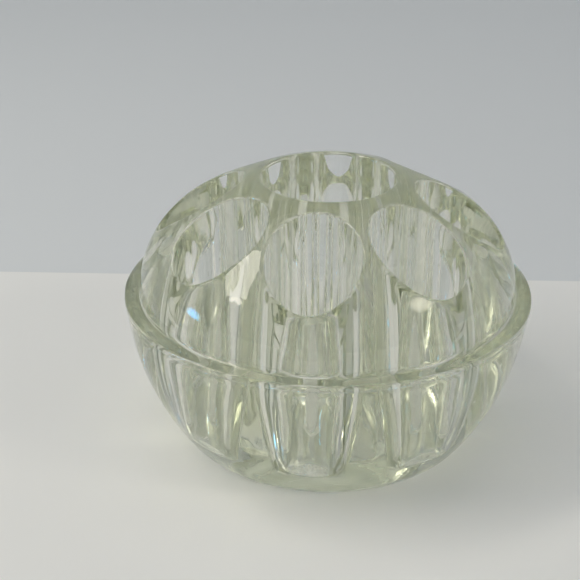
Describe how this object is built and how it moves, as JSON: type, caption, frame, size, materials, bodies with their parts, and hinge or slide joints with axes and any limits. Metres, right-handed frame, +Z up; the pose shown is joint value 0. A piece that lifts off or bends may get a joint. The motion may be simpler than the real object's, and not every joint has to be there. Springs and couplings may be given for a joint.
{
  "type": "flower frog",
  "caption": "Domed clear pressed-glass flower frog with a ledge round its widest part and upright blind stem holes, standing on a flat base.",
  "frame": {"origin": "centre of the flat base", "axes": "+Z up along the block's axis; one hole of the ring lies on -Y"},
  "size_m": [0.114, 0.114, 0.0755],
  "materials": {
    "glass": "clear pressed glass with a faint olive green tint, slightly wavy fire-polished faces, fine upright draw lines on the hole walls"
  },
  "bodies": {
    "root": {"glass_block": "glass"}
  },
  "joints": []
}
